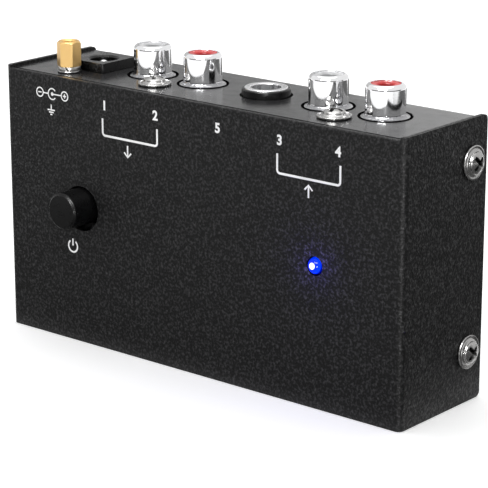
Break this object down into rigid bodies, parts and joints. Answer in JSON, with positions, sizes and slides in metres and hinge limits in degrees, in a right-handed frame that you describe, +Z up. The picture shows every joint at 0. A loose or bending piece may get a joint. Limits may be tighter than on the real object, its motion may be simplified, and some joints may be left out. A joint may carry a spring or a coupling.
{
  "type": "phono preamp",
  "caption": "Flat sheet-metal phono preamp standing on its narrow side: phono sockets, large round socket, power inlet and ground post on top, push button and light in front.",
  "frame": {"origin": "centre of the base's flat underside", "axes": "+Z up, +X along the width, front plate with button and light faces -Y, sockets on the +Z panel"},
  "size_m": [0.1128, 0.0342, 0.0663],
  "materials": {
    "textured_black": "fine-textured powder coat",
    "satin_black": "smooth satin coat",
    "nickel_screw": "nickel plate",
    "bright_plate": "bright plate",
    "terminal_brass": "plain brass",
    "contact_brass": "plain brass",
    "spring_steel": "spring steel",
    "tinned": "tinned",
    "board_green": "solder mask",
    "moulded_black": "moulded",
    "button_black": "matte",
    "white_insulator": "moulded",
    "red_insulator": "moulded",
    "blue_lens": "clear tinted resin",
    "wire_green": "wire insulation",
    "sleeve_blue": "shrink sleeve",
    "film_red": "moulded case",
    "resistor_blue": "lacquer"
  },
  "bodies": {
    "case": {"front_cover": "textured_black", "rear_chassis": "satin_black", "side_screws": "nickel_screw", "circuit_board": "board_green", "board_standoffs": "nickel_screw", "board_screws": "nickel_screw", "input_housing": "moulded_black", "input_shells": "bright_plate", "input_left_insulator": "white_insulator", "input_right_insulator": "red_insulator", "input_contacts": "contact_brass", "input_fixing_screw": "nickel_screw", "output_housing": "moulded_black", "output_shells": "bright_plate", "output_left_insulator": "white_insulator", "output_right_insulator": "red_insulator", "output_contacts": "contact_brass", "output_fixing_screw": "nickel_screw", "jack_body": "moulded_black", "jack_ferrule": "bright_plate", "jack_tip_spring": "spring_steel", "jack_ring_spring": "spring_steel", "inlet_body": "moulded_black", "inlet_pin": "bright_plate", "inlet_spring": "spring_steel", "ground_stud": "terminal_brass", "ground_lug": "tinned", "ground_wire": "wire_green", "ground_washer": "nickel_screw", "switch_spring": "spring_steel", "switch_housing": "moulded_black", "switch_pins": "tinned", "light_lens": "blue_lens", "light_spacer": "moulded_black", "light_leads": "tinned", "amplifier_chip": "moulded_black", "chip_legs": "tinned", "filter_capacitors": "sleeve_blue", "capacitor_leads": "tinned", "film_capacitors": "film_red", "film_leads": "tinned", "resistors": "resistor_blue", "resistor_leads": "tinned", "regulator": "moulded_black", "regulator_legs": "tinned", "rectifier_diode": "moulded_black", "diode_leads": "tinned"},
    "power_button": {"button_cap": "button_black", "switch_plunger": "white_insulator"},
    "terminal_lift": {"ground_split_washer": "spring_steel"},
    "terminal_nut": {"ground_nut": "terminal_brass"}
  },
  "joints": [
    {"name": "button_press", "type": "slide", "parent": "case", "child": "power_button", "axis": [0, 1, 0], "range_m": [0, 0.003], "stiffness_N_per_m": 600, "springref_m": -0.001, "deforming": ["switch_spring"]},
    {"name": "terminal_rise", "type": "slide", "parent": "case", "child": "terminal_lift", "axis": [0, 0, 1], "range_m": [0, 0.0015]},
    {"name": "terminal_turn", "type": "hinge", "parent": "terminal_lift", "child": "terminal_nut", "pos_m": [-0.0402, -0.0085, 0.06355], "axis": [0, 0, 1], "range_deg": [0, 1085]}
  ],
  "couplings": [
    {"joint": "terminal_turn", "follows": "terminal_rise", "rad_per_m": 12566}
  ]
}
